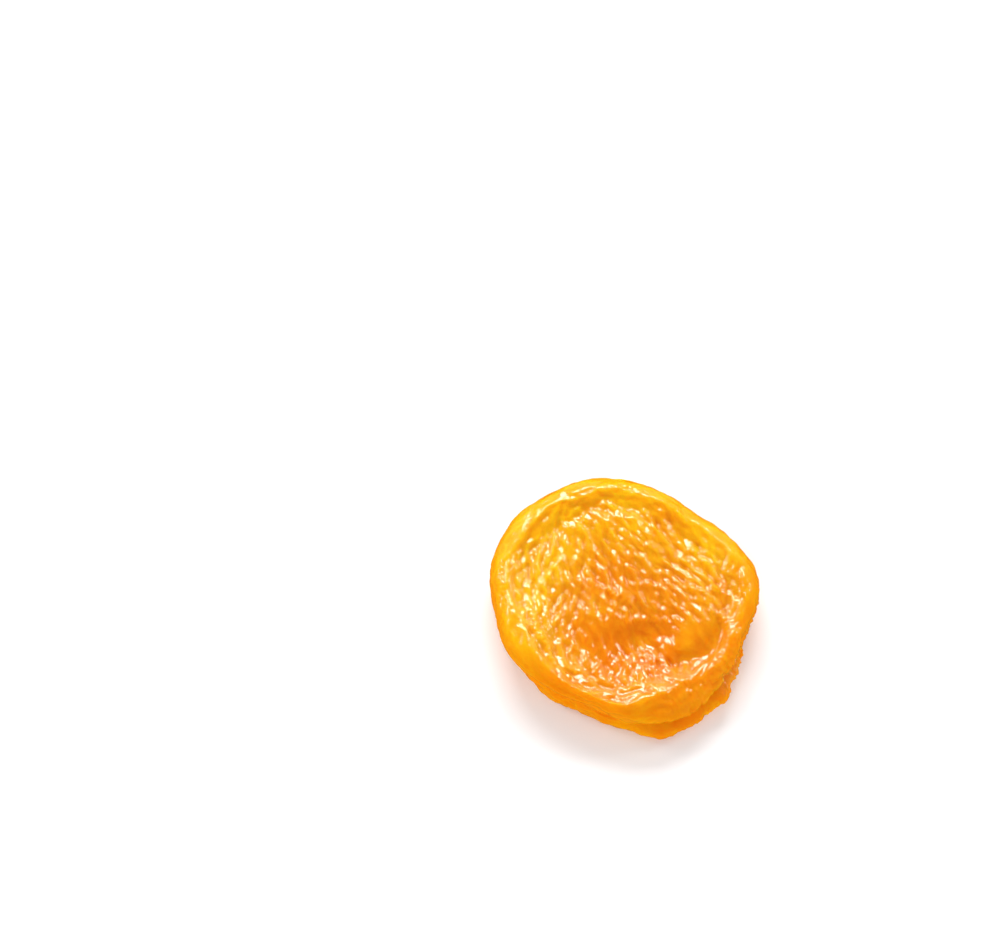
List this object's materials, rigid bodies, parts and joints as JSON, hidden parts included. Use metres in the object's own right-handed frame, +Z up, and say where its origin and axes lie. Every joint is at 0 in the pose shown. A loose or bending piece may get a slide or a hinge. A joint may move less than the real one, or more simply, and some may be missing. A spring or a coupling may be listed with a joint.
{
  "type": "dried apricot",
  "caption": "Whole dried apricot, pitted and pressed flat: a wrinkled disc with a rolled rim, a seam round its edge and a torn slit at the stem end.",
  "frame": {"origin": "on the surface that the fruit rests on, under the middle of its outline", "axes": "+Z up, through the thickness of the flattened fruit, with the dished and most wrinkled face up; the torn slit of the stem end faces between +X and -Y"},
  "size_m": [0.0396, 0.0392, 0.0095],
  "materials": {
    "apricot_flesh": "moist, glossy, translucent orange-yellow fruit skin and flesh, deeper orange in the middle and at the torn slit"
  },
  "bodies": {
    "root": {"dried_apricot": "apricot_flesh"}
  },
  "joints": []
}
